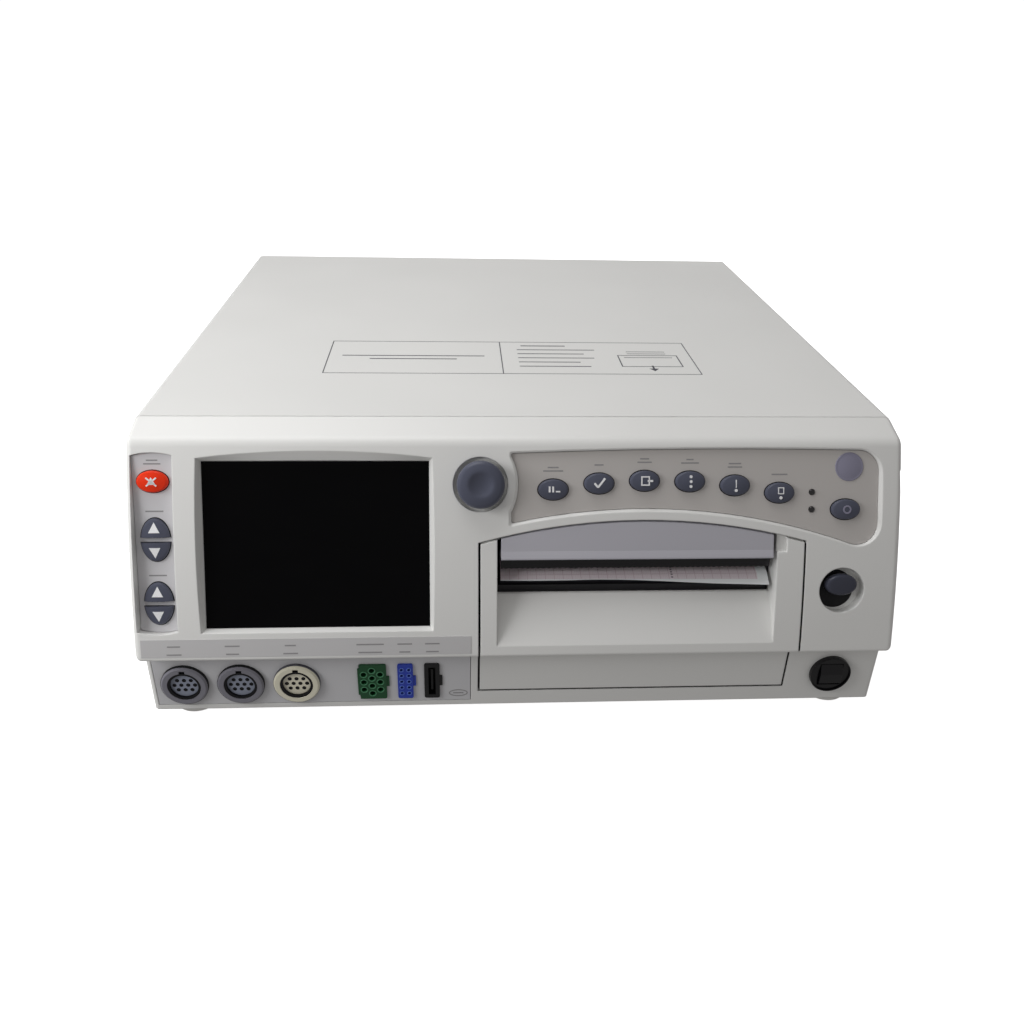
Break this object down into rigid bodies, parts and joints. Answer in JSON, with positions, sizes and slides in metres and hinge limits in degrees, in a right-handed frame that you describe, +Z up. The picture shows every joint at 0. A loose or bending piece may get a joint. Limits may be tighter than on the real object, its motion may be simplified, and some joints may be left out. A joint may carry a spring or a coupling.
{
  "type": "fetal monitor",
  "caption": "Desktop fetal monitor with a dark display, keypads, push-turn knob, probe sockets and a slide-out chart recorder with a scooped paper slot.",
  "frame": {"origin": "under the middle of the casing, on the surface that its feet stand on", "axes": "+X to the right seen from the front, +Y to the rear, +Z up"},
  "size_m": [0.4242, 0.4321, 0.1698],
  "materials": {
    "casing_white": "fine spark texture, warm white",
    "cover_grey": "fine spark texture, mid grey",
    "panel_grey": "satin light grey",
    "rear_metal": "powder coat, light grey",
    "key_slate": "satin, slate",
    "key_red": "satin, red",
    "screen_glass": "dark polished window",
    "gasket_rubber": "black foam rubber",
    "lcd_metal": "mill finish",
    "board_green": "solder mask",
    "lamp_plastic": "clear lens",
    "foot_rubber": "matt rubber",
    "platen_rubber": "ground rubber",
    "steel": "zinc plated",
    "brass": "nickel over brass",
    "gear_nylon": "natural nylon",
    "tray_black": "black satin",
    "supply_metal": "perforated cover, plain",
    "chart_paper": "thermal paper",
    "socket_slate": "satin slate",
    "socket_ivory": "satin ivory",
    "socket_green": "satin green",
    "socket_blue": "satin blue",
    "socket_black": "satin black"
  },
  "bodies": {
    "case": {"front_bezel": "casing_white", "top_cover": "casing_white", "rubber_feet": "foot_rubber", "rear_screws": "steel", "mains_inlet": "tray_black", "earth_stud": "brass", "data_ports": "steel", "rear_panel": "rear_metal", "power_supply": "supply_metal", "main_board": "board_green", "base_tray": "casing_white", "speaker": "tray_black", "display_gasket": "gasket_rubber", "display_glass": "screen_glass", "lcd_module": "lcd_metal", "left_key_plate": "cover_grey", "left_key_board": "board_green", "right_key_plate": "cover_grey", "right_key_board": "board_green", "indicator_lights": "lamp_plastic", "knob_encoder": "steel", "print_head_cover": "cover_grey", "recorder_chassis": "steel", "thermal_print_head": "lcd_metal", "first_probe_socket_shell": "socket_slate", "first_probe_socket_insert": "socket_slate", "second_probe_socket_shell": "socket_slate", "second_probe_socket_insert": "socket_slate", "toco_socket_shell": "socket_ivory", "toco_socket_insert": "socket_ivory", "black_socket": "socket_black", "blue_socket": "socket_blue", "green_socket": "socket_green", "connector_panel": "panel_grey", "power_switch_housing": "tray_black"},
    "chart_drawer": {"drawer_front": "casing_white", "drawer_tray": "tray_black", "paper_pack": "chart_paper", "chart_paper": "chart_paper", "stepper_motor": "steel"},
    "platen": {"platen_roller": "platen_rubber", "roller_gear": "gear_nylon"},
    "drive_pinion": {"motor_pinion": "steel"},
    "knob_push": {"knob_plunger": "gear_nylon"},
    "knob": {"trim_knob": "key_slate"},
    "drawer_button": {"latch_button": "key_slate"},
    "ejector": {"eject_lever": "gear_nylon"},
    "rocker": {"power_rocker": "tray_black"},
    "alarm_silence_key_body": {"alarm_silence_key": "key_red"},
    "first_volume_up_key_body": {"first_volume_up_key": "key_slate"},
    "first_volume_down_key_body": {"first_volume_down_key": "key_slate"},
    "second_volume_up_key_body": {"second_volume_up_key": "key_slate"},
    "second_volume_down_key_body": {"second_volume_down_key": "key_slate"},
    "menu_key_body": {"menu_key": "key_slate"},
    "confirm_key_body": {"confirm_key": "key_slate"},
    "mark_key_body": {"mark_key": "key_slate"},
    "channel_key_body": {"channel_key": "key_slate"},
    "zero_key_body": {"zero_key": "key_slate"},
    "print_key_body": {"print_key": "key_slate"},
    "standby_key_body": {"standby_key": "key_slate"}
  },
  "joints": [
    {"name": "alarm_silence_key_press", "type": "slide", "parent": "case", "child": "alarm_silence_key_body", "axis": [0, 0.9396, -0.3422], "range_m": [0, 0.0012], "stiffness_N_per_m": 800, "springref_m": -0.0008},
    {"name": "first_volume_up_key_press", "type": "slide", "parent": "case", "child": "first_volume_up_key_body", "axis": [0, 0.9396, -0.3422], "range_m": [0, 0.0012], "stiffness_N_per_m": 800, "springref_m": -0.0008},
    {"name": "first_volume_down_key_press", "type": "slide", "parent": "case", "child": "first_volume_down_key_body", "axis": [0, 0.9396, -0.3422], "range_m": [0, 0.0012], "stiffness_N_per_m": 800, "springref_m": -0.0008},
    {"name": "second_volume_up_key_press", "type": "slide", "parent": "case", "child": "second_volume_up_key_body", "axis": [0, 0.9396, -0.3422], "range_m": [0, 0.0012], "stiffness_N_per_m": 800, "springref_m": -0.0008},
    {"name": "second_volume_down_key_press", "type": "slide", "parent": "case", "child": "second_volume_down_key_body", "axis": [0, 0.9396, -0.3422], "range_m": [0, 0.0012], "stiffness_N_per_m": 800, "springref_m": -0.0008},
    {"name": "menu_key_press", "type": "slide", "parent": "case", "child": "menu_key_body", "axis": [0, 0.9073, -0.4205], "range_m": [0, 0.0012], "stiffness_N_per_m": 800, "springref_m": -0.0008},
    {"name": "confirm_key_press", "type": "slide", "parent": "case", "child": "confirm_key_body", "axis": [0, 0.9073, -0.4205], "range_m": [0, 0.0012], "stiffness_N_per_m": 800, "springref_m": -0.0008},
    {"name": "mark_key_press", "type": "slide", "parent": "case", "child": "mark_key_body", "axis": [0, 0.9073, -0.4205], "range_m": [0, 0.0012], "stiffness_N_per_m": 800, "springref_m": -0.0008},
    {"name": "channel_key_press", "type": "slide", "parent": "case", "child": "channel_key_body", "axis": [0, 0.9073, -0.4205], "range_m": [0, 0.0012], "stiffness_N_per_m": 800, "springref_m": -0.0008},
    {"name": "zero_key_press", "type": "slide", "parent": "case", "child": "zero_key_body", "axis": [0, 0.9073, -0.4205], "range_m": [0, 0.0012], "stiffness_N_per_m": 800, "springref_m": -0.0008},
    {"name": "print_key_press", "type": "slide", "parent": "case", "child": "print_key_body", "axis": [0, 0.9073, -0.4205], "range_m": [0, 0.0012], "stiffness_N_per_m": 800, "springref_m": -0.0008},
    {"name": "standby_key_press", "type": "slide", "parent": "case", "child": "standby_key_body", "axis": [0, 0.9073, -0.4205], "range_m": [0, 0.0012], "stiffness_N_per_m": 800, "springref_m": -0.0008},
    {"name": "knob_press", "type": "slide", "parent": "case", "child": "knob_push", "axis": [0, 0.8997, -0.4365], "range_m": [0, 0.0012], "stiffness_N_per_m": 1500, "springref_m": -0.0008},
    {"name": "knob_turn", "type": "hinge", "parent": "knob_push", "child": "knob", "pos_m": [-0.02365, -0.17848, 0.14129], "axis": [0, -0.8997, 0.4365], "continuous": true},
    {"name": "drawer_button_press", "type": "slide", "parent": "case", "child": "drawer_button", "axis": [0, 0.9401, -0.3409], "range_m": [0, 0.003], "stiffness_N_per_m": 700, "springref_m": -0.002},
    {"name": "ejector_swing", "type": "hinge", "parent": "case", "child": "ejector", "pos_m": [0.1671, -0.18556, 0.08479], "axis": [0, 0, 1], "range_deg": [0, 13.75]},
    {"name": "drawer_slide", "type": "slide", "parent": "case", "child": "chart_drawer", "axis": [0, -1, 0], "range_m": [0, 0.115]},
    {"name": "platen_spin", "type": "hinge", "parent": "chart_drawer", "child": "platen", "pos_m": [0.0636, -0.17831, 0.08414], "axis": [1, 0, 0], "continuous": true},
    {"name": "pinion_spin", "type": "hinge", "parent": "chart_drawer", "child": "drive_pinion", "pos_m": [0.1455, -0.18411, 0.05685], "axis": [1, 0, 0], "continuous": true},
    {"name": "power_rocker_tip", "type": "hinge", "parent": "case", "child": "rocker", "pos_m": [0.18265, -0.20311, 0.0305], "axis": [1, 0, 0], "range_deg": [0, 16]}
  ],
  "couplings": [
    {"joint": "pinion_spin", "follows": "platen_spin", "ratio": -2.1},
    {"joint": "ejector_swing", "follows": "drawer_button_press", "rad_per_m": 79.681}
  ]
}
